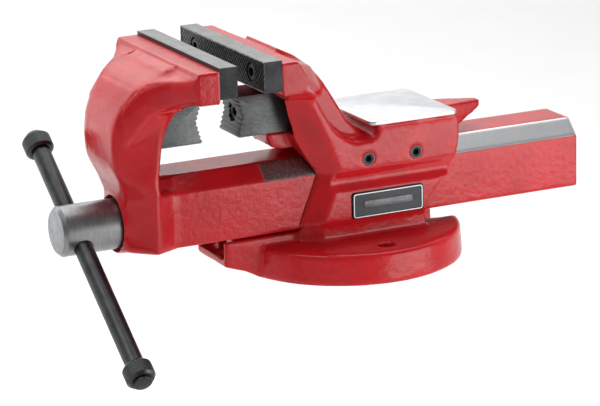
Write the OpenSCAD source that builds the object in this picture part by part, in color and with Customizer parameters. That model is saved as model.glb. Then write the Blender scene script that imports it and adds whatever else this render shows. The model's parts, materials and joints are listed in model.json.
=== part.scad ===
// Bench vise with a round fixed base, flat jaw plates, pipe jaws and an anvil.
// +Z up, -X towards the handle, +X towards the tail of the slide, -Y the badge side.
// The origin is the centre of the base on its underside.

/* [Jaws] */
// Length of the jaws across the vise
jaw_w = 150; // [140:1:160]
// Opening between the jaw plates as stored
jaw_gap = 21; // [12:1:40]
// Thickness of a jaw plate
plate_t = 14; // [12:1:16]
// Height of a jaw plate
plate_h = 23; // [20:1:25]
// Height of the jaw plates' top above the base's underside
jaw_top_z = 175.5; // [174:0.5:178]
// Width of a pipe jaw
pipe_jaw_w = 34; // [28:1:40]

/* [Slide] */
// Width of the square slide
slide_w = 57.6; // [56:0.2:58]
// Height of the slide's underside
slide_z0 = 33.5; // [33:0.5:35]
// Height of the slide's top
slide_z1 = 86.5; // [85:0.5:88]
// Chamfer along the slide's top edges
slide_chamfer = 12; // [10:1:14]
// Tail end of the slide
slide_x1 = 188; // [180:1:200]

/* [Base] */
// Diameter of the base at its underside
base_d = 177; // [170:1:190]
// Thickness of the base
base_t = 24; // [20:1:26]
// Distance between the two bench bolts
bolt_spacing = 134; // [128:1:140]
// Diameter of the bench bolt holes
bolt_hole_d = 13; // [11:0.5:15]

/* [Spindle and handle] */
// Height of the spindle's axis
spindle_z = 51.5; // [50:0.5:53]
// Diameter of the spindle's head
head_d = 37.6; // [34:0.2:40]
// Diameter of the handle bar
bar_d = 14; // [12:0.5:15]
// Length of the handle bar
bar_len = 240; // [230:1:260]
// Downward tilt of the bar towards the badge side
bar_tilt = 35; // [0:1:60]
// Lead of the spindle thread
thread_lead = 5; // [4:0.5:6]

/* [Hidden] */
$fn = 64;

// Jaw faces and the casting faces that the plates bolt to
fixed_face_x = -99;
moving_face_x = fixed_face_x - jaw_gap;
fixed_seat_x = fixed_face_x + plate_t;
moving_seat_x = moving_face_x - plate_t;
plate_z0 = jaw_top_z - plate_h;
pad_top_z = jaw_top_z - 2.5;
plate_screw_y = 50;
plate_screw_z = plate_z0 + plate_h / 2;

// M8 socket head screws
screw_r = 4;
screw_head_r = 6.5;
screw_head_h = 8;
socket_r = 3.5;
counterbore_r = 7;
counterbore_depth = 9;
plate_thread_depth = 12;

// Pipe jaws
pipe_z0 = 107;
pipe_z1 = 138;
pipe_screw_z = 123;
pipe_setback = 3.5;
pipe_vee = 4.5;
pipe_pocket_hw = 29;
fixed_pipe_seat_x = -48;
moving_pipe_seat_x = -162;

// Slide section and its passage through the body
slide_hw = slide_w / 2;
slide_top_hw = slide_hw - slide_chamfer;
slide_side_z = slide_z1 - slide_chamfer;
cavity_hw = 17.5;
cavity_z1 = 72;
cavity_x0 = -150;
guide_gap = 0.3;
passage_roof_z = 95;

// Body casting
body_hw = 39.5;
flank_hw = 38;
neck_core_hw = 27;
anvil_x0 = 2;
anvil_x1 = 76;
anvil_hw = 42;
anvil_z = 111.5;
anvil_lip = 3;
nose_hw = 26;
nose_x0 = -113;
notch_hw = 20;
floor_z = slide_z0 - 0.3;

// Gib strips that bear on the slide's chamfers, and their grub screws
gib_t = 5;
gib_x0 = -20;
gib_x1 = 62;
gib_gap = 0.15;
gib_screw_xs = [1, 41];
gib_screw_z = 83;
gib_screw_tip_y = 32;

// Moving jaw casting
neck_front_hw = 29;
neck_back_hw = 36.5;
neck_foot_hw = 38;
neck_foot_z = 32.3;
boss_x0 = -191;
boss_r = 23;
recess_r = 21;
recess_x = -183;
spindle_bore_r = 12.4;

// Spindle along X
head_x0 = -235;
head_x1 = -185.7;
head_r = head_d / 2;
shank_r = 12;
thread_x0 = -115;
thread_r = 11.5;
thread_root_r = 9;
thread_turns = 54;
spring_x = -145.7;
spring_wire = 3;
spring_pitch = 2.4;
spring_coils = 6;
collar_x0 = -132;
collar_x1 = -122;
collar_r = 16;
pin_x = (collar_x0 + collar_x1) / 2;
pin_r = 2.5;
bar_x = -220;
bar_hole_r = bar_d / 2 + 0.4;
nut_bore_r = thread_r + 0.4;
nut_hw = 15;
nut_x0 = -30;
nut_x1 = 20;

// Handle, measured along the bar from the spindle's axis, lower end positive
bar_end_lower = 146;
bar_end_upper = bar_end_lower - bar_len;
cap_r = 11;
cap_len = 14;
cap_inset = 3;

// Badge
badge_w = 60;
badge_h = 20.4;
badge_x = 15.8;
badge_z = 48.4;

red = [0.78, 0.10, 0.12];
dark_steel = [0.25, 0.26, 0.27];
mid_steel = [0.45, 0.46, 0.47];
bright_steel = [0.72, 0.73, 0.74];
black = [0.08, 0.08, 0.09];
bronze = [0.70, 0.55, 0.30];

// Points given as [x, z], extruded across the vise to half-width hw
module side_profile(points, hw) {
    translate([0, hw, 0]) rotate([90, 0, 0]) linear_extrude(2 * hw) polygon(points);
}

// Points given as [y, z], extruded along X from x0 to x1
module along_x(x0, x1) {
    translate([x0, 0, 0]) rotate([90, 0, 90]) linear_extrude(x1 - x0) children();
}

module block(x0, x1, hw, z0, z1) {
    translate([x0, -hw, z0]) cube([x1 - x0, 2 * hw, z1 - z0]);
}

module rod_x(x0, x1, r, y, z) {
    translate([x0, y, z]) rotate([0, 90, 0]) cylinder(h = x1 - x0, r = r);
}

module both_sides() {
    children();
    mirror([0, 1, 0]) children();
}

module rounded_rect(w, h, r) {
    square([w - 2 * r, h], center = true);
    square([w, h - 2 * r], center = true);
    for (sx = [-1, 1], sy = [-1, 1]) translate([sx * (w / 2 - r), sy * (h / 2 - r)]) circle(r);
}

// A socket head screw along X, towards dir, from the underside of its head at x
module cap_screw_x(x, dir, shank, y, z) {
    translate([x, y, z]) rotate([0, dir > 0 ? 90 : -90, 0]) difference() {
        union() {
            translate([0, 0, -screw_head_h]) cylinder(h = screw_head_h, r = screw_head_r);
            cylinder(h = shank, r = screw_r);
        }
        translate([0, 0, -screw_head_h - 1]) cylinder(h = 6, r = socket_r, $fn = 6);
    }
}

// ---- Slide section ----

module slide_section(grow) {
    hw = slide_hw + grow;
    top = slide_z1 + grow;
    cut = slide_chamfer + grow * (2 - sqrt(2));
    polygon([
        [-hw, slide_z0 - grow], [hw, slide_z0 - grow], [hw, top - cut],
        [hw - cut, top], [cut - hw, top], [-hw, top - cut]
    ]);
}

module passage() {
    along_x(-80, 100) slide_section(guide_gap);
    block(-80, 68, slide_top_hw, slide_z1 - 1, passage_roof_z);
}

// Gib strip on the +Y chamfer, drawn from x0 to x1
module gib_strip(x0, x1) {
    low = [slide_hw - 1.2, slide_side_z + 1.2];
    high = [slide_top_hw + 1.2, slide_z1 - 1.2];
    inner = [gib_gap, gib_gap] / sqrt(2);
    outer = inner + [gib_t, gib_t] / sqrt(2);
    along_x(x0, x1) polygon([low + inner, low + outer, high + outer, high + inner]);
}

// ---- Fixed body ----

module base_disc() {
    r = base_d / 2;
    rotate_extrude() polygon([[0, 0], [r - 1, 0], [r, 1], [r - 1.5, base_t - 2], [r - 3.5, base_t], [0, base_t]]);
}

module base_nose() {
    side_profile([
        [nose_x0, 12], [-96, 6.5], [-84, 0], [-40, 0], [-40, floor_z - 2], [nose_x0, floor_z - 2]
    ], nose_hw);
}

module body_walls() {
    difference() {
        side_profile([
            [-53.5, 37], [-38.5, 74], [-41, 80], [-55, 103], [-61, 122], [-64, 137], [-40.5, 134], [-27, 110],
            [-17, 101], [-10, 97.8], [1, 97], [6.5, 98.6], [9.5, 105], [9.5, anvil_z - anvil_lip],
            [77, anvil_z - anvil_lip], [78.5, 104], [78, 86], [75, 73], [68.5, 60.5], [62.5, 57.5], [49.5, 37]
        ], body_hw);
        both_sides() {
            front_bevel(-54.5, 34, -38, 75);
            front_bevel(-38, 75, -66.5, 142);
        }
    }
    translate([0, 0, base_t - 4]) linear_extrude(42 - base_t) polygon([
        [-53.5, 9 - flank_hw], [-38.3, -flank_hw], [49.5, -flank_hw],
        [49.5, flank_hw], [-38.3, flank_hw], [-53.5, flank_hw - 9]
    ]);
}

// Cuts the body's front corner back at a slant between two points of its front edge
module front_bevel(low_x, low_z, high_x, high_z) {
    hull() {
        translate([low_x, body_hw, low_z]) linear_extrude(0.1) front_bevel_plan();
        translate([high_x, body_hw, high_z]) linear_extrude(0.1) front_bevel_plan();
    }
}

module front_bevel_plan() {
    polygon([[-6, 1], [-6, -9.5], [0, -9.5], [16, 0], [16, 1]]);
}

module neck_core() {
    side_profile([
        [-64, 137], [-71, 148], [-66, pad_top_z], [-52, 166], [-38, 155], [-28, 143], [-19, 128], [-10, 113],
        [0, 103], [6, 98], [6, 90], [-40, 78], [-55, 103], [-61, 122]
    ], neck_core_hw);
}

// Shelf under the pipe jaw
module pipe_jaw_shelf() {
    side_profile([[-71.5, pipe_z0], [-71.5, 104.3], [-67.5, 95], [-44, 90], [-44, pipe_z0]], pipe_jaw_w / 2);
}

module fixed_pad() {
    side_profile([
        [fixed_seat_x, 150], [fixed_seat_x, pad_top_z - 1], [fixed_seat_x + 1, pad_top_z],
        [-72, pad_top_z], [-64, 160], [-65, 152], [-70, 148.5], [fixed_seat_x + 2, 148.5]
    ], jaw_w / 2);
}

// The jaw spreads from the neck to the full width of the pad
module fixed_flare() {
    hull() {
        block(-80, -66, jaw_w / 2, 150, 156);
        block(-66, -40, 42, 136, 137);
    }
    hull() {
        block(-80, -70, jaw_w / 2 - 4, 160, pad_top_z - 2);
        block(-70, -45, 40, 150, 160);
        block(-66, -32, 30, 136, 140);
    }
}

module anvil() {
    w = anvil_x1 - anvil_x0;
    translate([anvil_x0 + w / 2, 0, anvil_z - anvil_lip]) linear_extrude(anvil_lip)
        rounded_rect(w, 2 * anvil_hw, 5);
}

module horn() {
    hull() {
        block(70, 78, 14, 88, 108.5);
        block(94, 96, 9, 90.5, 107.8);
        block(112, 115.5, 4, 101.5, 107);
    }
}

// Long hollow in each side of the body, above the badge
module side_groove() {
    r = 8;
    y = body_hw + 3.9;
    z = 68;
    rod_x(-25, 90, r, y, z);
    translate([-25, y, z]) sphere(r = r);
}

module fixed_body() {
    color(red) difference() {
        union() {
            base_disc();
            base_nose();
            body_walls();
            neck_core();
            pipe_jaw_shelf();
            fixed_pad();
            fixed_flare();
            anvil();
            horn();
        }
        passage();
        both_sides() {
            side_groove();
            gib_strip(gib_x0, 90);
            for (x = gib_screw_xs) translate([x, 20, gib_screw_z]) rotate([-90, 0, 0]) cylinder(h = 30, r = screw_r);
            translate([0, bolt_spacing / 2, -1]) cylinder(h = base_t + 2, r = bolt_hole_d / 2);
            rod_x(fixed_seat_x - 1, fixed_seat_x + plate_thread_depth, screw_r, plate_screw_y, plate_screw_z);
        }
        // Relief notch in the back of the base
        translate([72, 0, -1]) cylinder(h = base_t + 1.1, r = notch_hw);
        block(72, 100, notch_hw, -1, base_t + 0.1);
        // Pocket in the end of the nose
        block(nose_x0 - 1, nose_x0 + 9, nose_hw - 4, 17, floor_z);
        rod_x(nose_x0 + 5, nose_x0 + 30, 7, 0, 25);
        // Seats for the pipe jaw, its screw and the nut with its bolt
        block(fixed_face_x, fixed_pipe_seat_x, pipe_pocket_hw, pipe_z0, pipe_z1);
        rod_x(fixed_pipe_seat_x - 1, fixed_pipe_seat_x + 18, screw_r, 0, pipe_screw_z);
        translate([(nut_x0 + nut_x1) / 2, 0, -1]) cylinder(h = 50, r = 6);
        translate([(nut_x0 + nut_x1) / 2, 0, -1]) cylinder(h = 15, r = 15);
    }
}

// ---- Jaw plates, pipe jaws and their screws ----

module jaw_plate(face_x, dir) {
    back_x = face_x + dir * plate_t;
    floor_x = face_x + dir * counterbore_depth;
    difference() {
        block(min(face_x, back_x), max(face_x, back_x), jaw_w / 2, plate_z0, jaw_top_z);
        for (y = [-plate_screw_y, plate_screw_y]) {
            rod_x(min(face_x, floor_x) - (dir > 0 ? 1 : 0), max(face_x, floor_x) + (dir > 0 ? 0 : 1),
                counterbore_r, y, plate_screw_z);
            rod_x(min(face_x, back_x) - 1, max(face_x, back_x) + 1, screw_r, y, plate_screw_z);
        }
    }
}

module plate_screws(face_x, dir) {
    shank = plate_t - counterbore_depth + plate_thread_depth - 1;
    for (y = [-plate_screw_y, plate_screw_y]) {
        cap_screw_x(face_x + dir * counterbore_depth, dir, shank, y, plate_screw_z);
    }
}

module pipe_jaw(face_x, seat_x, dir) {
    tip_x = face_x + dir * pipe_setback;
    vee_x = tip_x + dir * pipe_vee;
    floor_x = vee_x + dir * counterbore_depth;
    difference() {
        side_profile([
            [tip_x, pipe_z0], [vee_x, pipe_screw_z], [tip_x, pipe_z1], [seat_x, pipe_z1], [seat_x, pipe_z0]
        ], pipe_jaw_w / 2);
        rod_x(min(tip_x, floor_x) - (dir > 0 ? 1 : 0), max(tip_x, floor_x) + (dir > 0 ? 0 : 1),
            counterbore_r, 0, pipe_screw_z);
        rod_x(min(tip_x, seat_x) - 1, max(tip_x, seat_x) + 1, screw_r, 0, pipe_screw_z);
    }
}

module pipe_screw(face_x, seat_x, dir) {
    floor_x = face_x + dir * (pipe_setback + pipe_vee + counterbore_depth);
    cap_screw_x(floor_x, dir, abs(seat_x - floor_x) + 16, 0, pipe_screw_z);
}

module fixed_jaw_plate() { color(dark_steel) jaw_plate(fixed_face_x, 1); }
module fixed_plate_screws() { color(black) plate_screws(fixed_face_x, 1); }
module fixed_pipe_jaw() { color(mid_steel) pipe_jaw(fixed_face_x, fixed_pipe_seat_x, 1); }
module fixed_pipe_screw() { color(black) pipe_screw(fixed_face_x, fixed_pipe_seat_x, 1); }
module moving_jaw_plate() { color(dark_steel) jaw_plate(moving_face_x, -1); }
module moving_plate_screws() { color(black) plate_screws(moving_face_x, -1); }
module moving_pipe_jaw() { color(mid_steel) pipe_jaw(moving_face_x, moving_pipe_seat_x, -1); }
module moving_pipe_screw() { color(black) pipe_screw(moving_face_x, moving_pipe_seat_x, -1); }

// ---- Gibs, grub screws and badge ----

module gib_screws() {
    for (x = gib_screw_xs) translate([x, 0, gib_screw_z]) rotate([-90, 0, 0]) difference() {
        union() {
            translate([0, 0, gib_screw_tip_y]) cylinder(h = body_hw - gib_screw_tip_y - 0.3, r = screw_r);
            translate([0, 0, gib_screw_tip_y - 1.8]) cylinder(h = 2, r = 2);
        }
        translate([0, 0, body_hw - 4.3]) cylinder(h = 6, r = 2.3, $fn = 6);
    }
}

module guide_gib_far() { color(bronze) gib_strip(gib_x0, gib_x1); }
module guide_gib_near() { color(bronze) mirror([0, 1, 0]) gib_strip(gib_x0, gib_x1); }
module gib_screws_far() { color(black) gib_screws(); }
module gib_screws_near() { color(black) mirror([0, 1, 0]) gib_screws(); }

module badge_plate() {
    color(black) translate([badge_x, -body_hw, badge_z]) rotate([90, 0, 0]) difference() {
        linear_extrude(1.8) rounded_rect(badge_w, badge_h, 2.5);
        translate([0, 0, 1.2]) linear_extrude(2) rounded_rect(badge_w - 3, badge_h - 3, 1.5);
    }
}

// ---- Nut under the slide ----

module spindle_nut() {
    mid_x = (nut_x0 + nut_x1) / 2;
    color(bronze) difference() {
        block(nut_x0, nut_x1, nut_hw, floor_z, spindle_z + nut_hw);
        rod_x(nut_x0 - 1, nut_x1 + 1, nut_bore_r, 0, spindle_z);
        translate([mid_x, 0, floor_z - 2]) cylinder(h = 7, r = 6);
    }
}

module nut_bolt() {
    mid_x = (nut_x0 + nut_x1) / 2;
    color(black) translate([mid_x, 0, 0]) union() {
        translate([0, 0, 3.5]) cylinder(h = 8, r = 11, $fn = 6);
        translate([0, 0, 11]) cylinder(h = floor_z + 4.5 - 11, r = 6);
    }
}

module nut_washer() {
    mid_x = (nut_x0 + nut_x1) / 2;
    color(bright_steel) translate([mid_x, 0, 11.5]) difference() {
        cylinder(h = 2.5, r = 12.5);
        translate([0, 0, -1]) cylinder(h = 5, r = 6.5);
    }
}

// ---- Moving jaw with its slide ----

// Curved arm in side view, from the slide up to the pad
module neck() {
    intersection() {
        side_profile([
            [-149.5, pad_top_z], [-160, 170.5], [-167.5, 165], [-175, 160.2], [-181.5, 155], [-189.5, 145],
            [-195, 132], [-197.5, 117], [-196.5, 101], [-195.8, 98], [-164.8, 98], [-163.3, 109.3],
            [-161.4, 118], [-158.7, 126.5], [-155.5, 132], [-150, 136.5], [-144, 139], [-140, 142], [-140, pad_top_z]
        ], neck_back_hw);
        linear_extrude(200) polygon([
            [-200, -neck_front_hw + 0.5], [-165, -neck_back_hw], [-130, -neck_back_hw],
            [-130, neck_back_hw], [-165, neck_back_hw], [-200, neck_front_hw - 0.5]
        ]);
    }
}

module neck_plan(front_x, front_hw, corner_x, corner_hw, back_x, back_hw) {
    polygon([
        [front_x, -front_hw], [corner_x, -corner_hw], [back_x, -back_hw],
        [back_x, back_hw], [corner_x, corner_hw], [front_x, front_hw]
    ]);
}

// Foot of the arm, which closes in to the spindle's boss in front and to the slide behind
module neck_foot() {
    hull() {
        translate([0, 0, 98]) linear_extrude(1) neck_plan(-196, neck_front_hw, -166, neck_back_hw, -164.8, neck_back_hw);
        translate([0, 0, 76]) linear_extrude(1) neck_plan(-190, 22, -172, neck_foot_hw, -166, neck_foot_hw - 1);
    }
    translate([0, 0, neck_foot_z]) linear_extrude(77 - neck_foot_z)
        neck_plan(-189, 20.5, -171, neck_foot_hw, -153.5, slide_hw + 0.5);
    rod_x(boss_x0, -170, boss_r, 0, spindle_z);
}

module moving_pad() {
    side_profile([
        [moving_seat_x, 150], [moving_seat_x, pad_top_z], [-149.5, pad_top_z], [-154.8, 168.3],
        [-154, 153], [-150, 149], [moving_seat_x - 1, 149]
    ], jaw_w / 2);
}

// The jaw narrows in a curve from the pad to the arm
module moving_flare() {
    hull() {
        block(-155, -150, jaw_w / 2 - 3, 151, 168);
        block(-166, -150, 50, 143, 165.5);
    }
    hull() {
        block(-166, -150, 50, 143, 165.5);
        block(-175, -152, 41.5, 138.5, 159.5);
    }
    hull() {
        block(-175, -156, 41.5, 138.5, 159.5);
        block(-189, -170, 34, 138, 144.5);
        block(-190, -166, 33, 118, 120);
    }
}

module slide() {
    along_x(-170, slide_x1) slide_section(0);
}

module moving_jaw() {
    color(red) difference() {
        union() {
            neck();
            neck_foot();
            moving_pad();
            moving_flare();
            slide();
        }
        block(cavity_x0, slide_x1 + 1, cavity_hw, slide_z0 - 2, cavity_z1);
        rod_x(-200, recess_x, recess_r, 0, spindle_z);
        rod_x(-200, cavity_x0 + 1, spindle_bore_r, 0, spindle_z);
        block(moving_pipe_seat_x, moving_face_x, pipe_jaw_w / 2, pipe_z0, pipe_z1);
        rod_x(moving_pipe_seat_x - 18, moving_pipe_seat_x + 1, screw_r, 0, pipe_screw_z);
        for (y = [-plate_screw_y, plate_screw_y]) {
            rod_x(moving_seat_x - plate_thread_depth, moving_seat_x + 1, screw_r, y, plate_screw_z);
        }
    }
}

// ---- Spindle ----

module ring_x(x0, x1, outer, inner) {
    difference() {
        rod_x(x0, x1, outer, 0, spindle_z);
        rod_x(x0 - 1, x1 + 1, inner, 0, spindle_z);
    }
}

module thrust_washer() { color(bright_steel) ring_x(recess_x - 2.5, recess_x, 20, spindle_bore_r); }
module inner_washer() { color(bright_steel) ring_x(cavity_x0, cavity_x0 + 2.5, 17, spindle_bore_r); }

// One trapezoidal ridge stands for each turn of the thread
function thread_profile() = [
    for (i = [0 : thread_turns - 1]) let (x = thread_x0 + i * thread_lead) each [
        [thread_root_r, x], [thread_r, x + 0.7], [thread_r, x + 2.2], [thread_root_r, x + 2.9]
    ]
];

module spindle() {
    end_x = thread_x0 + thread_turns * thread_lead;
    color(bright_steel) difference() {
        translate([0, 0, spindle_z]) rotate([0, 90, 0]) rotate_extrude() polygon(concat(
            [[0, head_x0], [head_r - 2.5, head_x0], [head_r, head_x0 + 2.5], [head_r, head_x1],
                [shank_r, head_x1], [shank_r, thread_x0 - 3]],
            thread_profile(),
            [[thread_root_r, end_x], [thread_root_r - 1.5, end_x + 2], [0, end_x + 2]]
        ));
        along_bar() translate([0, 0, -30]) cylinder(h = 60, r = bar_hole_r);
        translate([pin_x, 0, spindle_z - 20]) cylinder(h = 40, r = pin_r);
    }
}

// Closed coils of the spring that holds the spindle against the jaw
module return_spring() {
    color(mid_steel) translate([0, 0, spindle_z]) rotate([0, 90, 0]) rotate_extrude()
        for (i = [0 : spring_coils - 1]) translate([shank_r + 2, spring_x + spring_pitch * i])
            circle(r = spring_wire / 2, $fn = 24);
}

module retaining_collar() {
    color(mid_steel) difference() {
        ring_x(collar_x0, collar_x1, collar_r, shank_r);
        translate([pin_x, 0, spindle_z - 20]) cylinder(h = 40, r = pin_r);
    }
}

module collar_pin() {
    color(dark_steel) translate([pin_x, 0, spindle_z - 15]) cylinder(h = 30, r = pin_r);
}

// ---- Handle ----

// Local +Z runs down the bar from the spindle's axis
module along_bar() {
    translate([bar_x, 0, spindle_z]) rotate([90 + bar_tilt, 0, 0]) children();
}

module handle_cap() {
    rotate_extrude() polygon([
        [bar_d / 2, 0], [cap_r - 1.5, 0], [cap_r, 1.5], [cap_r, cap_len - 1.5], [cap_r - 1.5, cap_len],
        [bar_d / 2, cap_len]
    ]);
}

module handle_bar() {
    r = bar_d / 2;
    color(dark_steel) along_bar() translate([0, 0, bar_end_upper]) rotate_extrude() polygon([
        [0, 0], [r - 0.8, 0], [r, 0.8], [r, bar_len - 0.8], [r - 0.8, bar_len], [0, bar_len]
    ]);
}

module handle_cap_lower() {
    color(black) along_bar() translate([0, 0, bar_end_lower - cap_inset - cap_len]) handle_cap();
}

module handle_cap_upper() {
    color(black) along_bar() translate([0, 0, bar_end_upper + cap_inset]) handle_cap();
}

fixed_body();
fixed_jaw_plate();
fixed_plate_screws();
fixed_pipe_jaw();
fixed_pipe_screw();
guide_gib_near();
guide_gib_far();
gib_screws_near();
gib_screws_far();
badge_plate();
spindle_nut();
nut_bolt();
nut_washer();
moving_jaw();
moving_jaw_plate();
moving_plate_screws();
moving_pipe_jaw();
moving_pipe_screw();
thrust_washer();
inner_washer();
spindle();
return_spring();
retaining_collar();
collar_pin();
handle_bar();
handle_cap_upper();
handle_cap_lower();
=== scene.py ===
"""Bench vise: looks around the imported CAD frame, in the CAD's own axes.

The object's measures are in millimetres. The camera, the lights and the floor are in metres."""

import json
import math

import bmesh
import bpy
import numpy as np
from mathutils import Matrix, Vector


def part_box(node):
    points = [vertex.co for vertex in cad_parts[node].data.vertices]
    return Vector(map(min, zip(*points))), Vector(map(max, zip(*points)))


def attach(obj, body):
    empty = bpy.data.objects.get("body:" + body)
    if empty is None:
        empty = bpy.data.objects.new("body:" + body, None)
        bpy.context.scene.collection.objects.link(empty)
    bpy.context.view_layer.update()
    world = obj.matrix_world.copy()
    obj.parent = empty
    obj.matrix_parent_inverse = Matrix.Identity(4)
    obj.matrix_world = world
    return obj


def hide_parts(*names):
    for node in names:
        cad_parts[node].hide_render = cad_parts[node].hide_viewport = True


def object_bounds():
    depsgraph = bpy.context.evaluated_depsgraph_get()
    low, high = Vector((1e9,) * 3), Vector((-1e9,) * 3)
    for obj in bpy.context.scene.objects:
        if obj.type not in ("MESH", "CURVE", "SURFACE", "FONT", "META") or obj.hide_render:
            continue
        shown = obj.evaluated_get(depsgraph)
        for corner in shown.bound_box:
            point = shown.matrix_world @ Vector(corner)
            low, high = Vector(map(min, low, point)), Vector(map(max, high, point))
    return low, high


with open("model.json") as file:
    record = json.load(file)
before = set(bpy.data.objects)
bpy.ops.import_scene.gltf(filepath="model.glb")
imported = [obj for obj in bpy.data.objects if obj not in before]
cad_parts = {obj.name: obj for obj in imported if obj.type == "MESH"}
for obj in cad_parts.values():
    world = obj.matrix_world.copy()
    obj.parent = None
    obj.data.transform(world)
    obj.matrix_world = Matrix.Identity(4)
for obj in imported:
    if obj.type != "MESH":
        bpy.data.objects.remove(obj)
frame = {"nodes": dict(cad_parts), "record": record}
cad_low, cad_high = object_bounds()
nodes = frame["nodes"]
joints = {j["name"]: j for j in frame["record"]["behaviour"]["joints"]}

MM = 0.001


# ---------------------------------------------------------------- measures taken from the frame

def box_mm(node):
    low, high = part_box(node)
    return [c / MM for c in low], [c / MM for c in high]


plate_low, plate_high = box_mm("moving_jaw_plate")
fixed_low, fixed_high = box_mm("fixed_jaw_plate")
spindle_low, spindle_high = box_mm("spindle")

JAW_HALF = plate_high[1]
PLATE_TOP = plate_high[2]
PLATE_BOTTOM = plate_low[2]
MOVING_FACE = plate_high[0]
FIXED_FACE = fixed_low[0]
PLATE_T = fixed_high[0] - fixed_low[0]
SPINDLE_Z = joints["spindle_turn"]["pos_m"][2] / MM
HEAD_R = spindle_high[1]
THREAD_LEAD = 5.0

# The bar's lower end is measured along it from the spindle's axis
BAR_X = joints["spindle_turn"]["pos_m"][0] / MM
BAR_DIR = Vector(joints["handle_slide"]["axis"]).normalized()
BAR_R = 7.0
BAR_LOWER = 146.0
BAR_LENGTH = 240.0
CAP_INSET = 3.0
CAP_LENGTH = 14.0
CAP_R = 11.0

# Castings: the slide, the anvil, the body's half-width and the back of the moving jaw's pad
SLIDE_HALF = 28.8
SLIDE_TOP = 86.5
SLIDE_CHAMFER = 12.0
SLIDE_SHOULDER = SLIDE_TOP - SLIDE_CHAMFER
CHAMFER_SUM = SLIDE_HALF + SLIDE_SHOULDER  # |y| + z anywhere on the slide's chamfers
BARE_FROM_X = -80.0
ANVIL_TOP = 111.5
ANVIL_LIP = 3.0
ANVIL_X = (2.0, 76.0)
ANVIL_HALF = 42.0
BODY_HALF = 39.5
PAD_BACK = -150.5

# Screws
COUNTERBORE_R = 7.0
COUNTERBORE_DEPTH = 9.0
PLATE_SCREW_Y = 50.0
PLATE_SCREW_Z = (PLATE_TOP + PLATE_BOTTOM) / 2
PIPE_SCREW_Z = 123.0
PIPE_SCREW_DEPTH = 13.5
GRUB_X = {"front": 1.0, "rear": 41.0}
GRUB_Z = 83.0


# ---------------------------------------------------------------- node helpers

class Look:
    """A material with one Principled shader, and short calls that add nodes to it."""

    def __init__(self, name, **inputs):
        self.material = bpy.data.materials.new(name)
        self.material.use_nodes = True
        self.tree = self.material.node_tree
        self.shader = self.tree.nodes["Principled BSDF"]
        for key, value in inputs.items():
            self.shader.inputs[key.replace("_", " ")].default_value = value

    def node(self, kind, **settings):
        made = self.tree.nodes.new(kind)
        for key, value in settings.items():
            setattr(made, key, value)
        return made

    def link(self, out, into):
        self.tree.links.new(out, into)
        return out

    def math(self, operation, a, b=None):
        made = self.node("ShaderNodeMath", operation=operation)
        for index, value in enumerate((a, b)):
            if value is None:
                continue
            if isinstance(value, (int, float)):
                made.inputs[index].default_value = value
            else:
                self.link(value, made.inputs[index])
        return made.outputs[0]

    def step(self, value, low, high):
        """0 below low, 1 above high, smooth between."""
        made = self.node("ShaderNodeMapRange", interpolation_type="SMOOTHSTEP")
        self.link(value, made.inputs["Value"])
        made.inputs["From Min"].default_value = low
        made.inputs["From Max"].default_value = high
        return made.outputs[0]

    def position(self):
        """Object position in millimetres, as separate X, Y and Z."""
        coords = self.node("ShaderNodeTexCoord")
        scale = self.node("ShaderNodeVectorMath", operation="SCALE")
        scale.inputs["Scale"].default_value = 1 / MM
        self.link(coords.outputs["Object"], scale.inputs[0])
        split = self.node("ShaderNodeSeparateXYZ")
        self.link(scale.outputs[0], split.inputs[0])
        self.vector = scale.outputs[0]
        return split.outputs

    def noise(self, scale, detail=2.0, rough=0.5, stretch=None):
        """Noise over the object in millimetres; scale is in waves per millimetre."""
        if not hasattr(self, "vector"):
            self.position()
        vector = self.vector
        if stretch:
            mapping = self.node("ShaderNodeMapping")
            mapping.inputs["Scale"].default_value = stretch
            self.link(vector, mapping.inputs["Vector"])
            vector = mapping.outputs[0]
        made = self.node("ShaderNodeTexNoise")
        made.inputs["Scale"].default_value = scale
        made.inputs["Detail"].default_value = detail
        made.inputs["Roughness"].default_value = rough
        self.link(vector, made.inputs["Vector"])
        return made.outputs["Fac"]

    def mix(self, factor, a, b):
        """Mixes two colours or sockets by factor."""
        made = self.node("ShaderNodeMix", data_type="RGBA")
        self.link(factor, made.inputs["Factor"])
        for socket, value in ((made.inputs["A"], a), (made.inputs["B"], b)):
            if isinstance(value, (tuple, list)):
                socket.default_value = (*value[:3], 1.0)
            else:
                self.link(value, socket)
        return made.outputs["Result"]

    def blend(self, factor, a, b):
        """Mixes two numbers or sockets by factor."""
        made = self.node("ShaderNodeMix", data_type="FLOAT")
        self.link(factor, made.inputs["Factor"])
        for socket, value in ((made.inputs["A"], a), (made.inputs["B"], b)):
            if isinstance(value, (int, float)):
                socket.default_value = value
            else:
                self.link(value, socket)
        return made.outputs["Result"]

    def bump(self, height, distance):
        """Height is 0 to 1; distance is the depth in millimetres."""
        made = self.node("ShaderNodeBump")
        made.inputs["Strength"].default_value = 1.0
        made.inputs["Distance"].default_value = distance * MM
        self.link(height, made.inputs["Height"])
        self.link(made.outputs[0], self.shader.inputs["Normal"])

    def set(self, name, out):
        self.link(out, self.shader.inputs[name])


# ---------------------------------------------------------------- materials

RED = (0.53, 0.010, 0.015)
DEEP_RED = (0.43, 0.008, 0.012)
MACHINED = (0.84, 0.85, 0.86)
MACHINED_LINES = (0.54, 0.55, 0.56)
ENAMEL_ROUGHNESS = (0.17, 0.26)
ENAMEL_SPECULAR = 0.31
BARE_ROUGHNESS = 0.38
CAST_DEPTH = 0.35


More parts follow.
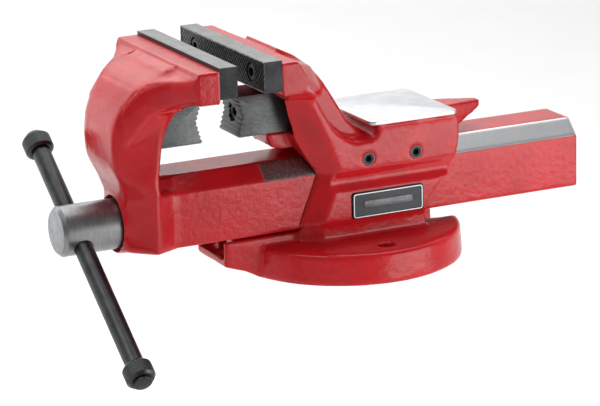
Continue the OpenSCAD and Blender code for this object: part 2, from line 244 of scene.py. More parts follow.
def enamel_finish(look, bare=None):
    """Gloss enamel over a cast skin.

    bare is a mask of machined metal, 0 to 1, which is duller towards the jaw and darkened there with painted
    shade for the fixed jaw's shadow."""
    patches = look.noise(0.035, 3.0, 0.6)
    colour = look.mix(look.step(patches, 0.35, 0.75), RED, DEEP_RED)
    ripple = look.noise(0.22, 2.0, 0.5)
    peel = look.noise(1.1, 2.0, 0.5)
    height = look.math("ADD", look.math("MULTIPLY", ripple, 0.8), look.math("MULTIPLY", peel, 0.2))
    rough = look.blend(look.step(patches, 0.3, 0.8), *ENAMEL_ROUGHNESS)
    look.shader.inputs["Specular IOR Level"].default_value = ENAMEL_SPECULAR
    if bare is None:
        look.set("Base Color", colour)
        look.set("Roughness", rough)
        look.bump(height, CAST_DEPTH)
        return
    lines = look.noise(2.6, 3.0, 0.7, stretch=(1.0, 0.05, 0.05))
    metal = look.mix(lines, MACHINED_LINES, MACHINED)
    # painted shade: the bare metal is darkened in uneven patches towards the jaw, standing in for the fixed
    # jaw's shadow over the slide
    shade_patches = look.step(look.noise(0.6, 3.0, 0.7), 0.35, 0.65)
    shaded_metal = look.mix(shade_patches, (0.16, 0.16, 0.16), (0.36, 0.36, 0.35))
    metal = look.mix(look.step(look.position()[0], -60.0, 30.0), shaded_metal, metal)
    look.set("Base Color", look.mix(bare, colour, metal))
    look.set("Metallic", bare)
    look.set("Roughness", look.blend(bare, rough, BARE_ROUGHNESS))
    look.bump(look.blend(bare, height, look.math("MULTIPLY", lines, 0.25)), CAST_DEPTH)


def body_enamel():
    look = Look("body_enamel")
    enamel_finish(look)
    return look.material


def jaw_enamel():
    """The slide's chamfers are machined bare from just behind the jaw to the tail."""
    look = Look("jaw_enamel")
    x, y, z = look.position()
    outward = look.math("ADD", look.math("ABSOLUTE", y), z)
    on_chamfer = look.step(outward, CHAMFER_SUM - 0.9, CHAMFER_SUM - 0.6)
    behind = look.step(x, BARE_FROM_X - 1, BARE_FROM_X + 1)
    above_side = look.step(z, SLIDE_SHOULDER - 2, SLIDE_SHOULDER - 1)
    below_neck = look.math("SUBTRACT", 1.0, look.step(z, SLIDE_TOP + 0.3, SLIDE_TOP + 0.6))
    between = look.math("MULTIPLY", above_side, below_neck)
    bare = look.math("MULTIPLY", on_chamfer, look.math("MULTIPLY", behind, between))
    enamel_finish(look, bare)
    return look.material


def steel(name, dark, light, rough, lines_scale, stretch, depth):
    """Ground or drawn steel: fine lines along one direction, mottled by a broad noise."""
    look = Look(name, Metallic=1.0)
    lines = look.noise(lines_scale, 4.0, 0.65, stretch=stretch)
    stains = look.noise(0.07, 4.0, 0.6)
    tone = look.math("ADD", look.math("MULTIPLY", lines, 0.55), look.math("MULTIPLY", stains, 0.45))
    look.set("Base Color", look.mix(look.step(tone, 0.3, 0.7), dark, light))
    look.set("Roughness", look.blend(stains, rough - 0.06, rough + 0.06))
    look.bump(lines, depth)
    return look.material


def plain_metal(name, colour, rough):
    """Metal with a slight haze and no direction to its finish."""
    look = Look(name, Metallic=1.0)
    haze = look.noise(0.3, 3.0, 0.6)
    lighter = tuple(min(1.0, c * 1.5) for c in colour)
    look.set("Base Color", look.mix(haze, colour, lighter))
    look.set("Roughness", look.blend(haze, rough, rough + 0.15))
    look.bump(look.noise(1.5, 3.0, 0.6), 0.05)
    return look.material


def grip_steel(name, face):
    """Black oxide, worn light on the tips of the serrations nearest the jaw's face."""
    look = Look(name, Metallic=1.0, Roughness=0.42)
    depth = look.math("ABSOLUTE", look.math("SUBTRACT", look.position()[0], face))
    worn = look.math("SUBTRACT", 1.0, look.step(depth, 0.15, 0.65))
    uneven = look.math("MULTIPLY", worn, look.step(look.noise(0.5, 3.0, 0.6), 0.25, 0.6))
    look.set("Base Color", look.mix(uneven, (0.012, 0.013, 0.014), (0.22, 0.22, 0.22)))
    return look.material


BODY_RED = body_enamel()
JAW_RED = jaw_enamel()
ANVIL_STEEL = steel(
    "anvil_steel", (0.50, 0.51, 0.52), (0.68, 0.69, 0.70), 0.42,
    lines_scale=1.2, stretch=(0.10, 1.0, 1.0), depth=0.05,
)
JAW_STEEL = steel(
    "jaw_steel", (0.016, 0.017, 0.018), (0.045, 0.047, 0.050), 0.42,
    lines_scale=1.2, stretch=(1.0, 0.05, 1.0), depth=0.05,
)
JAW_TOP = steel(
    "jaw_top", (0.10, 0.10, 0.10), (0.26, 0.26, 0.255), 0.36,
    lines_scale=1.2, stretch=(1.0, 0.04, 1.0), depth=0.05,
)
PIPE_STEEL = steel(
    "pipe_steel", (0.075, 0.078, 0.08), (0.15, 0.155, 0.155), 0.48,
    lines_scale=0.9, stretch=(0.4, 1.0, 1.0), depth=0.08,
)
HEAD_STEEL = steel(
    "head_steel", (0.17, 0.175, 0.18), (0.32, 0.325, 0.33), 0.36,
    lines_scale=2.2, stretch=(1.0, 0.06, 0.06), depth=0.04,
)
BAR_STEEL = steel(
    "bar_steel", (0.035, 0.036, 0.038), (0.070, 0.072, 0.075), 0.38,
    lines_scale=1.4, stretch=(1.0, 0.08, 0.08), depth=0.03,
)
BLACK_OXIDE = plain_metal("black_oxide", (0.026, 0.027, 0.029), 0.36)
CAP_OXIDE = plain_metal("cap_oxide", (0.045, 0.046, 0.048), 0.28)
BRONZE = plain_metal("bronze", (0.42, 0.27, 0.10), 0.34)
SPRING_STEEL = plain_metal("spring_steel", (0.20, 0.20, 0.21), 0.30)
BADGE_BLACK = plain_metal("badge_black", (0.012, 0.014, 0.015), 0.30)
BADGE_SILVER = plain_metal("badge_silver", (0.34, 0.345, 0.35), 0.34)
BADGE_GREY = plain_metal("badge_grey", (0.048, 0.050, 0.053), 0.42)


# ---------------------------------------------------------------- mesh helpers

def make_object(name, mesh, *materials):
    made = bpy.data.objects.new(name, mesh)
    bpy.context.scene.collection.objects.link(made)
    for material in materials:
        mesh.materials.append(material)
    return made


def build(name, vertices, faces, *materials):
    mesh = bpy.data.meshes.new(name)
    mesh.from_pydata([Vector(v) * MM for v in vertices], [], faces)
    mesh.validate()
    mesh.update()
    return make_object(name, mesh, *materials)


def shade(piece, angle=35):
    """Smooth shading, with edges sharper than angle kept sharp."""
    mesh = piece.data
    mesh.polygons.foreach_set("use_smooth", [True] * len(mesh.polygons))
    mesh.set_sharp_from_angle(angle=math.radians(angle))


def apply_modifiers(piece):
    bpy.context.view_layer.update()
    depsgraph = bpy.context.evaluated_depsgraph_get()
    finished = bpy.data.meshes.new_from_object(piece.evaluated_get(depsgraph))
    piece.modifiers.clear()
    piece.data = finished


def cut(piece, *tools):
    """Takes the tools away from the piece, then deletes them."""
    for tool in tools:
        modifier = piece.modifiers.new("cut", "BOOLEAN")
        modifier.operation = "DIFFERENCE"
        modifier.solver = "EXACT"
        modifier.object = tool
    apply_modifiers(piece)
    for tool in tools:
        bpy.data.objects.remove(tool)


def bevel(piece, width):
    modifier = piece.modifiers.new("bevel", "BEVEL")
    modifier.width = width * MM
    modifier.segments = 2
    modifier.limit_method = "ANGLE"
    modifier.angle_limit = math.radians(30)
    apply_modifiers(piece)


def lathe(name, rings, segments, origin, axis, *materials, hollow=False):
    """Turns rings of (height, radius) about an axis; a radius may be a function of the angle.

    A radius of 0 closes the end in a point; otherwise the end is one flat face.
    A hollow piece joins its last ring to its first and has no end faces."""
    turn = Vector(axis).to_track_quat("Z", "Y").to_matrix()
    start = Vector(origin)
    vertices, faces, loops = [], [], []
    for height, radius in rings:
        if radius == 0:
            loops.append([len(vertices)])
            vertices.append(start + turn @ Vector((0, 0, height)))
            continue
        loop = []
        for k in range(segments):
            angle = 2 * math.pi * k / segments
            r = radius(angle) if callable(radius) else radius
            loop.append(len(vertices))
            vertices.append(start + turn @ Vector((r * math.cos(angle), r * math.sin(angle), height)))
        loops.append(loop)
    if hollow:
        loops.append(loops[0])
    for low, high in zip(loops, loops[1:]):
        for k in range(segments):
            j = (k + 1) % segments
            if len(low) == 1:
                faces.append((low[0], high[j], high[k]))
            elif len(high) == 1:
                faces.append((low[k], low[j], high[0]))
            else:
                faces.append((low[k], low[j], high[j], high[k]))
    if len(loops[0]) > 1 and not hollow:
        faces.append(tuple(reversed(loops[0])))
    if len(loops[-1]) > 1 and not hollow:
        faces.append(tuple(loops[-1]))
    return build(name, vertices, faces, *materials)


def prism(name, outline, low, high, axis, *materials):
    """An outline extruded along one axis from low to high.

    Outline points are the other two coordinates, in order."""
    def place(u, v, w):
        return {"X": (w, u, v), "Y": (u, w, v), "Z": (u, v, w)}[axis]
    count = len(outline)
    vertices = [place(u, v, low) for u, v in outline] + [place(u, v, high) for u, v in outline]
    sides = [(k, (k + 1) % count, count + (k + 1) % count, count + k) for k in range(count)]
    ends = [tuple(reversed(range(count))), tuple(range(count, 2 * count))]
    made = build(name, vertices, sides + ends, *materials)
    mend_normals(made)
    return made


def mend_normals(piece):
    mesh = piece.data
    work = bmesh.new()
    work.from_mesh(mesh)
    bmesh.ops.recalc_face_normals(work, faces=work.faces)
    work.to_mesh(mesh)
    work.free()


def hexagon(across_flats):
    """Radius of a hexagon at an angle."""
    flat = across_flats / 2

    def radius(angle):
        return flat / math.cos((angle + math.pi / 6) % (math.pi / 3) - math.pi / 6)
    return radius


def rounded_outline(width, height, radius):
    """Rounded rectangle about the origin, as a list of points."""
    steps = 6
    points = []
    for cx, cy, start in ((1, 1, 0), (-1, 1, 90), (-1, -1, 180), (1, -1, 270)):
        for k in range(steps + 1):
            angle = math.radians(start + 90 * k / steps)
            points.append((
                cx * (width / 2 - radius) + radius * math.cos(angle),
                cy * (height / 2 - radius) + radius * math.sin(angle),
            ))
    return points


def stand_for(piece, body, slot, *cad_nodes):
    """Fixes the piece to its body, and hides the CAD nodes that it is drawn in place of."""
    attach(piece, body)
    if cad_nodes:
        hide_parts(*cad_nodes)


# ---------------------------------------------------------------- castings

SMOOTHING = 0.6
LUMP_DEPTH = 0.22
PASSAGE_RELIEF = 0.5
SLIDE_RELIEF = 0.08
PAD_STEP = 1.5
ARM_SWELL = 2.8


def neighbours_mean(points, edges, counts):
    """Mean of each point's neighbours along the mesh's edges."""
    total = np.empty_like(points)
    for axis in range(3):
        column = points[:, axis]
        total[:, axis] = np.bincount(edges[:, 0], column[edges[:, 1]], len(points))
        total[:, axis] += np.bincount(edges[:, 1], column[edges[:, 0]], len(points))
    return total / counts[:, None]


def casting(name, cad_node, material, softness, relief, voxel, passes):
    """The CAD solid with its edges eased, as a sand casting has them.

    softness(points in mm) gives each point's share of the smoothing, 0 to 1, and
    relief(points in mm, normals) how far its surface is set back to keep sliding faces apart."""
    source = nodes[cad_node]
    work = bmesh.new()
    work.from_mesh(source.data)
    bmesh.ops.remove_doubles(work, verts=work.verts, dist=1e-6)
    mesh = bpy.data.meshes.new(name)
    work.to_mesh(mesh)
    work.free()
    piece = make_object(name, mesh)
    modifier = piece.modifiers.new("skin", "REMESH")
    modifier.mode = "VOXEL"
    modifier.voxel_size = voxel * MM
    apply_modifiers(piece)
    mesh = piece.data
    mesh.materials.clear()
    mesh.materials.append(material)

    count = len(mesh.vertices)
    points = np.empty(count * 3)
    mesh.vertices.foreach_get("co", points)
    points = points.reshape(-1, 3) / MM
    edges = np.empty(len(mesh.edges) * 2, dtype=int)
    mesh.edges.foreach_get("vertices", edges)
    edges = edges.reshape(-1, 2)
    counts = np.bincount(edges.ravel(), minlength=count).astype(float)
    share = softness(points)[:, None]
    for _ in range(passes):
        points += SMOOTHING * share * (neighbours_mean(points, edges, counts) - points)
    normals = np.empty(count * 3)
    mesh.vertices.foreach_get("normal", normals)
    normals = normals.reshape(-1, 3)
    lumps = LUMP_DEPTH * np.minimum(share[:, 0], 0.6) * cast_lumps(points)
    offset = lumps - relief(points, normals)
    points += offset[:, None] * normals
    mesh.vertices.foreach_set("co", (points * MM).ravel())
    mesh.update()
    shade(piece, 50)
    return piece


def cast_lumps(points):
    """Gentle seeded waves over a casting, about -1 to 1."""
    random = np.random.default_rng(7)
    total = np.zeros(len(points))
    for _ in range(14):
        wave = random.normal(size=3)
        wave *= 2 * np.pi / random.uniform(14, 45) / np.linalg.norm(wave)
        total += np.sin(points @ wave + random.uniform(0, 2 * np.pi))
    return total / 4


def body_softness(p):
    x, y, z = p[:, 0], np.abs(p[:, 1]), p[:, 2]
    soft = np.full(len(p), 0.32)
    soft[z < 26] = 0.35  # base
    soft[(y < 29.6) & (z > 32.5) & (z < 96) & (x > -60)] = 0.03  # machined passage
    soft[z < 3] = 0.2  # rim of the underside
    soft[np.hypot(x, y - 67) < 8.5] = 0.05  # bench bolt holes
    soft[(x > -48) & (z > 92) & (z < 165)] = 0.8  # neck and the walls under the anvil
    soft[(x < -58) & (z > 140)] = 0.12  # pad
    soft[(x < -82) & (z > 140)] = 0.0  # machined seat of the jaw plate
    soft[(x > 78) & (z > 87)] = 0.2  # horn
    return soft


def jaw_softness(p):
    x, y, z = p[:, 0], np.abs(p[:, 1]), p[:, 2]
    soft = np.full(len(p), 0.85)
    soft[(x > -172) & (z < 80)] = 0.4  # foot of the arm
    soft[(x > -150) & (z < 90)] = 0.08  # slide
    soft[(x > -152.5) & (z > 140)] = 0.10  # pad
    soft[(x > -136) & (z > 140)] = 0.0  # machined seat of the jaw plate
    soft[(y < 17.6) & (x > -163) & (z > 100)] = 0.0  # pocket of the pipe jaw
    soft[(np.hypot(y, z - SPINDLE_Z) < 22) & (x < -150)] = 0.05  # bore of the spindle
    return soft


def passage_relief(p, _normals):
    """Clearance around the slide."""
    y, z = np.abs(p[:, 1]), p[:, 2]
    inside = (y < 31) & (z > 32) & (z < 97) & (y + z < CHAMFER_SUM + 6)
    return np.where(inside, PASSAGE_RELIEF, 0.0)


def jaw_relief(p, normals):
    """Clearance along the slide, the step that leaves the pad's edge proud of the flare behind it,
    and less than nothing on the arm's back, to make up for what the smoothing takes off there."""
    x, z = p[:, 0], p[:, 2]
    slide = np.where((x > -150) & (z < SLIDE_TOP + 1), SLIDE_RELIEF, 0.0)
    step = PAD_STEP * np.clip((PAD_BACK - x) / 1.2, 0, 1) * np.clip((x - PAD_BACK + 22) / 16, 0, 1)
    swell = ARM_SWELL * np.clip(-normals[:, 0], 0, 1)
    swell *= np.clip((-164 - x) / 14, 0, 1) * np.clip((z - 84) / 20, 0, 1)
    return slide + np.where(z > 141, step, 0.0) - swell


def make_castings():
    voxel = 1.1
    passes = 26
    body = casting(
        "body_casting", "fixed_body", BODY_RED, body_softness, passage_relief, voxel, passes,
    )
    lower_anvil(body)
    stand_for(body, "fixed_body", "red_enamel", "fixed_body")
    jaw = casting(
        "jaw_casting", "moving_jaw", JAW_RED, jaw_softness, jaw_relief, voxel, 2 * passes,
    )
    stand_for(jaw, "moving_jaw", "red_enamel", "moving_jaw")


def lower_anvil(body):
    """Leaves room for the machined anvil plate, which is drawn on its own for a crisp edge."""
    top = (ANVIL_TOP - ANVIL_LIP + 0.2) * MM
    front = (ANVIL_X[0] - 1) * MM
    wall_front = 9.3 * MM
    for vertex in body.data.vertices:
        x, y, z = vertex.co
        if x > front and z > top:
            vertex.co.z = top
        if x > front and z > (ANVIL_TOP - ANVIL_LIP - 2) * MM:
            vertex.co.y = max(-BODY_HALF * MM, min(BODY_HALF * MM, y))
            vertex.co.x = max(x, wall_front) if abs(y) > 28 * MM else x


def make_anvil():
    width = ANVIL_X[1] - ANVIL_X[0]
    middle = (ANVIL_X[0] + ANVIL_X[1]) / 2
    outline = [(u + middle, v) for u, v in rounded_outline(width, 2 * ANVIL_HALF, 5)]
    plate = prism("anvil_face", outline, ANVIL_TOP - ANVIL_LIP, ANVIL_TOP, "Z", ANVIL_STEEL)
    bevel(plate, 0.5)
    shade(plate, 40)
    stand_for(plate, "fixed_body", "bright_steel")


# ---------------------------------------------------------------- jaws

def tent(value, pitch):
    """0 in the grooves and 1 on the ridges of a V-groove pattern."""
    return 1 - abs((value / pitch) % 1 - 0.5) * 2


def pyramids(u, v, pitch):
    """Height of cross-cut pyramids at 45 degrees, 0 to 1."""
    return min(tent(u + v, pitch), tent(u - v, pitch))


def grid_face(width, height, spacing, edge):
    """Grid lines across a face, with an extra line close to each edge for the eased corner."""
    def lines(size):
        count = round((size - 2 * edge) / spacing)
        inner = [-size / 2 + edge + (size - 2 * edge) * k / count for k in range(count + 1)]
        return [-size / 2] + inner + [size / 2]
    return lines(width), lines(height)


def serrated_block(name, centre, width, height, depth, relief, margin, pitch, spacing, place, materials):
    """A closed block whose front is cross-cut, apart from a plain margin.

    place turns (across, up, inward) into a point."""
    ease = 0.5
    across, up = grid_face(width, height, spacing, ease)
    columns, rows = len(across), len(up)

    def inward(u, v):
        rim = min(width / 2 - abs(u), height / 2 - abs(v))
        if rim < ease * 0.5:
            return ease
        if rim < margin:
            return 0.0
        return relief * (1 - pyramids(u, v, pitch))

    vertices = [place(u + centre[0], v + centre[1], inward(u, v)) for v in up for u in across]
    faces = [
        (r * columns + c, r * columns + c + 1, (r + 1) * columns + c + 1, (r + 1) * columns + c)
        for r in range(rows - 1) for c in range(columns - 1)
    ]
    rim = [c for c in range(columns)]
    rim += [r * columns + columns - 1 for r in range(1, rows)]
    rim += [(rows - 1) * columns + c for c in range(columns - 2, -1, -1)]
    rim += [r * columns for r in range(rows - 2, 0, -1)]
    first = len(vertices)
    for index in rim:
        u, v = across[index % columns], up[index // columns]
        vertices.append(place(u + centre[0], v + centre[1], depth))
    count = len(rim)
    for k in range(count):
        j = (k + 1) % count
        faces.append((rim[j], rim[k], first + k, first + j))
    faces.append(tuple(range(first, first + count)))
    made = build(name, vertices, faces, *materials)
    mend_normals(made)
    return made


def tool_x(start, end, radius, y, z):
    """A cutting cylinder along X."""
    return lathe("tool", [(0, radius), (end - start, radius)], 48, (start, y, z), (1, 0, 0))


def make_jaw_plate(name, body, face, inward, cad_node):
    def place(u, v, depth):
        return (face + inward * depth, u, v)
    plate = serrated_block(
        name, (0.0, PLATE_SCREW_Z), 2 * JAW_HALF, PLATE_TOP - PLATE_BOTTOM, PLATE_T,
        relief=0.8, margin=1.2, pitch=4.2, spacing=0.7, place=place,
        materials=(JAW_STEEL, JAW_TOP, grip_steel(name + "_grip", face)),
    )
    top_slot, grip_slot = 1, 2
    pocket = sorted((face - inward * 2, face + inward * (COUNTERBORE_DEPTH + 0.5)))
    cut(plate, *(tool_x(*pocket, COUNTERBORE_R, side * PLATE_SCREW_Y, PLATE_SCREW_Z) for side in (-1, 1)))
    for part in plate.data.polygons:
        if part.normal.z > 0.9:
            part.material_index = top_slot
        elif abs(part.center.x / MM - face) < 0.85:
            part.material_index = grip_slot
    shade(plate, 25)
    stand_for(plate, body, "jaw_steel", cad_node)


def cap_screw(name, body, head_x, inward, y, z, cad_node):
    """The head of an M8 socket head screw; head_x is its underside."""
    socket = hexagon(6.0)
    top, head_r = 8.0, 6.5
    rings = [
        (0, 0), (0, 4.0), (0, head_r - 0.2), (0.3, head_r), (top - 0.8, head_r), (top, head_r - 0.8),
        (top, 4.1), (top - 0.5, socket), (top - 4.5, socket), (top - 4.5, 0),
    ]
    screw = lathe(name, rings, 48, (head_x, y, z), (-inward, 0, 0), BLACK_OXIDE)
    mend_normals(screw)
    shade(screw, 30)
    stand_for(screw, body, "black_oxide", cad_node)


def make_pipe_jaw(name, body, cad_node, inward):
    """A vee block with level teeth on both flanks of the vee."""
    low, high = box_mm(cad_node)
    tip = low[0] if inward > 0 else high[0]
    seat = high[0] if inward > 0 else low[0]
    teeth, tooth, vee = 9, 1.2, 4.5
    middle = PIPE_SCREW_Z
    outline = []
    for k in range(teeth):
        z0 = low[2] + (high[2] - low[2]) * k / teeth
        z1 = low[2] + (high[2] - low[2]) * (k + 1) / teeth
        for z, lift in ((z0, tooth), (z0 + (z1 - z0) * 0.45, 0.0), (z0 + (z1 - z0) * 0.65, 0.0)):
            span = (high[2] - middle) if z > middle else (middle - low[2])
            fall = vee * (1 - abs(z - middle) / span)
            outline.append((tip + inward * (fall + lift), z))
    outline += [(tip + inward * tooth, high[2]), (seat, high[2]), (seat, low[2])]
    block = prism(name, outline, low[1], high[1], "Y", PIPE_STEEL)
    bevel(block, 0.35)
    pocket = sorted((tip - inward * 2, tip + inward * (PIPE_SCREW_DEPTH + 0.5)))
    cut(block, tool_x(*pocket, COUNTERBORE_R, 0.0, middle))
    shade(block, 30)
    stand_for(block, body, "pipe_steel", cad_node)


def make_jaws():
    make_jaw_plate("fixed_plate", "fixed_body", FIXED_FACE, 1, "fixed_jaw_plate")
    make_jaw_plate("moving_plate", "moving_jaw", MOVING_FACE, -1, "moving_jaw_plate")
    for side, y in (("near", -PLATE_SCREW_Y), ("far", PLATE_SCREW_Y)):
        for name, body, face, inward in (
            ("fixed_plate_screw", "fixed_body", FIXED_FACE, 1),
            ("moving_plate_screw", "moving_jaw", MOVING_FACE, -1),
        ):
            head_x = face + inward * COUNTERBORE_DEPTH
            cap_screw(f"{name}_{side}", body, head_x, inward, y, PLATE_SCREW_Z, name + "s")
    make_pipe_jaw("fixed_pipe_block", "fixed_body", "fixed_pipe_jaw", 1)
    make_pipe_jaw("moving_pipe_block", "moving_jaw", "moving_pipe_jaw", -1)
    fixed_head = box_mm("fixed_pipe_jaw")[0][0] + PIPE_SCREW_DEPTH
    moving_head = box_mm("moving_pipe_jaw")[1][0] - PIPE_SCREW_DEPTH
    cap_screw("fixed_pipe_bolt", "fixed_body", fixed_head, 1, 0.0, PIPE_SCREW_Z, "fixed_pipe_screw")
    cap_screw("moving_pipe_bolt", "moving_jaw", moving_head, -1, 0.0, PIPE_SCREW_Z, "moving_pipe_screw")


# ---------------------------------------------------------------- spindle and handle

def thread_radius(height, outer, root):
    """Radius of a right-hand trapezoidal thread at a height, as a function of the angle."""
    def radius(angle):
        phase = (height / THREAD_LEAD - angle / (2 * math.pi)) % 1
        rise = min(max((0.36 - abs(phase - 0.5)) / 0.16, 0.0), 1.0)
        return root + (outer - root) * rise
    return radius


def make_spindle():
    """The spindle with a helical thread. Ring heights are measured from the head's end."""
    start = spindle_low[0]
    end = spindle_high[0] - start
    shoulder, thread_start = 49.3, 117.0
    outer, root, shank = 11.5, 9.0, 12.0
    rings = [
        (0, 0), (0, HEAD_R - 6), (0, HEAD_R - 2.8), (0.4, HEAD_R - 2.3), (2.3, HEAD_R - 0.4), (2.8, HEAD_R),
        (shoulder - 0.5, HEAD_R), (shoulder, HEAD_R - 0.5), (shoulder, shank), (thread_start, shank),
        (thread_start + 2, root),
    ]
    steps = round((end - 4 - thread_start - 3) / (THREAD_LEAD / 10))
    for k in range(steps + 1):
        height = thread_start + 3 + k * THREAD_LEAD / 10
        grow = min(1.0, k / 10, (steps - k) / 10)
        rings.append((height, thread_radius(height, root + (outer - root) * grow, root)))
    rings += [(end - 2, root), (end, root - 1.5), (end, 0)]
    spindle = lathe("screw_spindle", rings, 60, (start, 0, SPINDLE_Z), (1, 0, 0), HEAD_STEEL)
    hole_r = BAR_R + 0.4
    hole = lathe("tool", [(-30, hole_r), (30, hole_r)], 64, (BAR_X, 0, SPINDLE_Z), BAR_DIR)
    cut(spindle, hole)
    shade(spindle, 30)
    stand_for(spindle, "spindle", "bright_steel", "spindle")


def make_spring():
    """Open coil of the return spring round the spindle's shank."""
    low, high = box_mm("return_spring")
    wire, sides, turns, steps = 1.1, 10, 5.5, 40
    mean = (high[1] - low[1]) / 2 - 1.5
    first, last = low[0] + wire, high[0] - wire
    vertices, faces = [], []
    count = round(turns * steps)
    for k in range(count + 1):
        angle = 2 * math.pi * k / steps
        x = first + (last - first) * k / count
        outward = Vector((0, math.cos(angle), math.sin(angle)))
        for s in range(sides):
            around = 2 * math.pi * s / sides
            point = Vector((x, 0, SPINDLE_Z)) + outward * (mean + wire * math.cos(around))
            vertices.append(point + Vector((wire * math.sin(around), 0, 0)))
    for k in range(count):
        for s in range(sides):
            t = (s + 1) % sides
            faces.append((k * sides + s, k * sides + t, (k + 1) * sides + t, (k + 1) * sides + s))
    faces.append(tuple(reversed(range(sides))))
    faces.append(tuple(range(count * sides, (count + 1) * sides)))
    spring = build("return_coil", vertices, faces, SPRING_STEEL)
    mend_normals(spring)
    shade(spring, 40)
    stand_for(spring, "spindle", "spring_steel", "return_spring")


def knurl(height, radius, teeth, pitch, depth):
    """Radius of a diamond knurl at a height, as a function of the angle."""
    def at(angle):
        around = angle / (2 * math.pi) * teeth
        return radius - depth * (1 - min(tent(around + height / pitch, 1), tent(around - height / pitch, 1)))
    return at


def make_handle():
    centre = Vector((BAR_X, 0, SPINDLE_Z))
    r = BAR_R
    start = BAR_LOWER - BAR_LENGTH
    teeth, rows, chamfer = 36, 24, 2.0
    rings = [
        (0, 0), (0, r - 1.2), (0.25, r - 0.6), (0.8, r), (BAR_LENGTH - 0.8, r),
        (BAR_LENGTH - 0.25, r - 0.6), (BAR_LENGTH, r - 1.2), (BAR_LENGTH, 0),
    ]
    bar = lathe("tommy_bar", rings, 64, centre + BAR_DIR * start, BAR_DIR, BAR_STEEL)
    shade(bar, 35)
    stand_for(bar, "handle", "bar_steel", "handle_bar")
    for name, node, at in (
        ("knurled_cap_lower", "handle_cap_lower", BAR_LOWER - CAP_INSET - CAP_LENGTH),
        ("knurled_cap_upper", "handle_cap_upper", start + CAP_INSET),
    ):
        rings = [(0, r), (0, CAP_R - chamfer), (chamfer * 0.9, CAP_R - 0.5)]
        for k in range(rows + 1):
            height = chamfer + (CAP_LENGTH - 2 * chamfer) * k / rows
            rings.append((height, knurl(height, CAP_R, teeth, 2.5, 0.45)))
        rings += [(CAP_LENGTH - chamfer * 0.9, CAP_R - 0.5), (CAP_LENGTH, CAP_R - chamfer)]
        rings.append((CAP_LENGTH, r))
        cap = lathe(name, rings, teeth * 4, centre + BAR_DIR * at, BAR_DIR, CAP_OXIDE, hollow=True)
        shade(cap, 25)
        stand_for(cap, "handle", "black_oxide", node)


# ---------------------------------------------------------------- badge and grub screws

def make_badge():
    """An unlettered plate: a dark back, a bright rim, a fine cross-cut panel and a plain bar."""
    low, high = box_mm("badge_plate")
    width, height = high[0] - low[0], high[2] - low[2]
    cx, cz = (low[0] + high[0]) / 2, (low[2] + high[2]) / 2
    back = high[1]

    def shifted(w, h, radius):
        return [(u + cx, v + cz) for u, v in rounded_outline(w, h, radius)]

    plate = prism("badge_back", shifted(width, height, 2.5), back, back - 1.2, "Y", BADGE_BLACK)
    bevel(plate, 0.3)
    shade(plate)
    stand_for(plate, "fixed_body", "badge", "badge_plate")

    rim_outline = shifted(width - 2.0, height - 2.0, 2.0)
    rim = prism("badge_rim", rim_outline, back - 1.0, back - 1.75, "Y", BADGE_SILVER)
    hole = prism("tool", shifted(width - 3.4, height - 3.4, 1.4), back, back - 3, "Y")
    cut(rim, hole)
    shade(rim)
    stand_for(rim, "fixed_body", "badge")

    def place(u, v, depth):
        return (u, back - 1.6 + depth, v)
    panel = serrated_block(
        "badge_panel", (cx, cz), width - 3.3, height - 3.3, 0.6,
        relief=0.4, margin=0.2, pitch=1.6, spacing=0.4, place=place, materials=(BADGE_GREY,),
    )
    shade(panel, 25)
    stand_for(panel, "fixed_body", "badge")

    bar_outline = shifted(width * 0.68, height * 0.30, 1.5)
    bar = prism("badge_bar", bar_outline, back - 1.2, back - 1.8, "Y", PIPE_STEEL)
    bevel(bar, 0.2)
    shade(bar)
    stand_for(bar, "fixed_body", "badge")


def make_grub_screws():
    """Socket grub screws in both sides, each with the bright edge of its tapped hole."""
    socket = hexagon(4.0)
    screw_rings = [
        (0, 0), (0, 3.4), (0.5, 3.9), (6.6, 3.9), (7.1, 3.4), (7.1, 2.6),
        (6.8, socket), (2.8, socket), (2.8, 0),
    ]
    edge_rings = [(0, 4.0), (0, 4.9), (0.25, 4.7), (0.25, 4.0)]
    for side, y, cad_node in (("near", -1, "gib_screws_near"), ("far", 1, "gib_screws_far")):
        for label, x in GRUB_X.items():
            inner_end = (x, y * (BODY_HALF - 7.4), GRUB_Z)
            screw = lathe(f"grub_{side}_{label}", screw_rings, 36, inner_end, (0, y, 0), BLACK_OXIDE)
            mend_normals(screw)
            shade(screw, 30)
            stand_for(screw, "fixed_body", "black_oxide", cad_node)
            edge = lathe(
                f"grub_edge_{side}_{label}", edge_rings, 36,
                (x, y * (BODY_HALF - 0.1), GRUB_Z), (0, y, 0), PIPE_STEEL, hollow=True,
            )
            mend_normals(edge)
            stand_for(edge, "fixed_body", "bright_steel")


# ---------------------------------------------------------------- CAD nodes that keep their shape

def dress_cad_nodes():
    looks = {
        "guide_gib_near": BRONZE, "guide_gib_far": BRONZE, "spindle_nut": BRONZE,
        "nut_bolt": BLACK_OXIDE, "nut_washer": HEAD_STEEL, "thrust_washer": HEAD_STEEL,
        "inner_washer": HEAD_STEEL, "retaining_collar": BAR_STEEL, "collar_pin": BAR_STEEL,
    }
    for name, material in looks.items():
        materials = nodes[name].data.materials
        materials.clear()
        materials.append(material)


# ---------------------------------------------------------------- camera, floor and light

VIEW_DEGREES = (-25.46, 15.46, -1.55)
VIEW_DISTANCE = 2.2234
VIEW_OFFSET = Vector((-13.4, 19.8, -24.0))
LENS = 176.5
FLOOR_Z = -0.21
FLOOR_HALF = 6.0


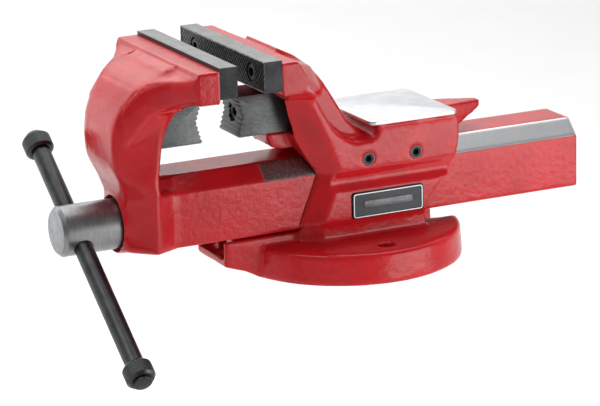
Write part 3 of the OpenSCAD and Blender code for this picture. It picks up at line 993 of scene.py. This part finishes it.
def make_camera():
    """Looks at a point near the middle of the frame's box, by azimuth, elevation and roll."""
    azimuth, elevation, roll = (math.radians(a) for a in VIEW_DEGREES)
    target = (cad_low + cad_high) / 2 + VIEW_OFFSET * MM
    back = Vector((
        math.sin(azimuth) * math.cos(elevation),
        -math.cos(azimuth) * math.cos(elevation),
        math.sin(elevation),
    ))
    level = back.cross(Vector((0, 0, 1))).normalized() * -1
    upright = back.cross(level)
    right = math.cos(roll) * level + math.sin(roll) * upright
    up = -math.sin(roll) * level + math.cos(roll) * upright
    data = bpy.data.cameras.new("camera")
    data.lens = LENS
    data.sensor_width = 36.0
    data.clip_start, data.clip_end = 0.05, 20.0
    camera = bpy.data.objects.new("camera", data)
    place = Matrix((right, up, back)).transposed().to_4x4()
    place.translation = target + back * VIEW_DISTANCE
    camera.matrix_world = place
    bpy.context.scene.collection.objects.link(camera)
    bpy.context.scene.camera = camera


def area_light(name, location, target, size, power):
    data = bpy.data.lights.new(name, "AREA")
    data.shape = "RECTANGLE"
    data.size, data.size_y = size
    data.energy = power
    light = bpy.data.objects.new(name, data)
    light.location = location
    light.rotation_mode = "QUATERNION"
    light.rotation_quaternion = (Vector(target) - Vector(location)).to_track_quat("-Z", "Y")
    bpy.context.scene.collection.objects.link(light)


def make_floor():
    half = FLOOR_HALF
    corners = [(-half, -half, 0), (half, -half, 0), (half, half, 0), (-half, half, 0)]
    mesh = bpy.data.meshes.new("floor")
    mesh.from_pydata(corners, [], [(0, 1, 2, 3)])
    made = make_object("floor", mesh)
    made.location.z = FLOOR_Z
    look = Look("floor_paper", Roughness=0.9)
    look.set("Base Color", look.mix(look.noise(0.01), (0.90, 0.90, 0.90), (0.94, 0.94, 0.94)))
    mesh.materials.append(look.material)


def make_world():
    """White surroundings, dimmer in front of the vise than behind it."""
    world = bpy.data.worlds.new("studio")
    world.use_nodes = True
    tree = world.node_tree
    coords = tree.nodes.new("ShaderNodeTexCoord")
    split = tree.nodes.new("ShaderNodeSeparateXYZ")
    fade = tree.nodes.new("ShaderNodeMapRange")
    fade.interpolation_type = "SMOOTHSTEP"
    for key, value in (("From Min", -0.35), ("From Max", 0.45), ("To Min", 0.22), ("To Max", 0.88)):
        fade.inputs[key].default_value = value
    tree.nodes["Background"].inputs["Color"].default_value = (1, 1, 1, 1)
    tree.links.new(coords.outputs["Generated"], split.inputs[0])
    tree.links.new(split.outputs["Y"], fade.inputs["Value"])
    tree.links.new(fade.outputs[0], tree.nodes["Background"].inputs["Strength"])
    bpy.context.scene.world = world


def make_lights():
    area_light("overhead", (0.2, 0.5, 1.5), (0.0, 0.1, 0.0), (1.7, 1.4), 15)
    area_light("back_floor", (-0.1, 2.2, 1.3), (-0.1, 1.8, FLOOR_Z), (3.2, 1.2), 18)
    area_light("front_panel", (0.38, -0.52, 0.03), (0.07, 0.0, 0.05), (0.56, 0.30), 2.3)
    area_light("rear_panel", (-0.55, 0.58, 0.10), (-0.19, 0.0, 0.11), (0.60, 0.45), 0.8)
    area_light("key", (-0.9, -0.3, 1.3), (0, 0, 0.08), (0.7, 0.7), 6)


make_camera()
make_castings()
make_anvil()
make_jaws()
make_spindle()
make_spring()
make_handle()
make_badge()
make_grub_screws()
dress_cad_nodes()
make_floor()
make_world()
make_lights()
bpy.context.scene.view_settings.view_transform = "Standard"
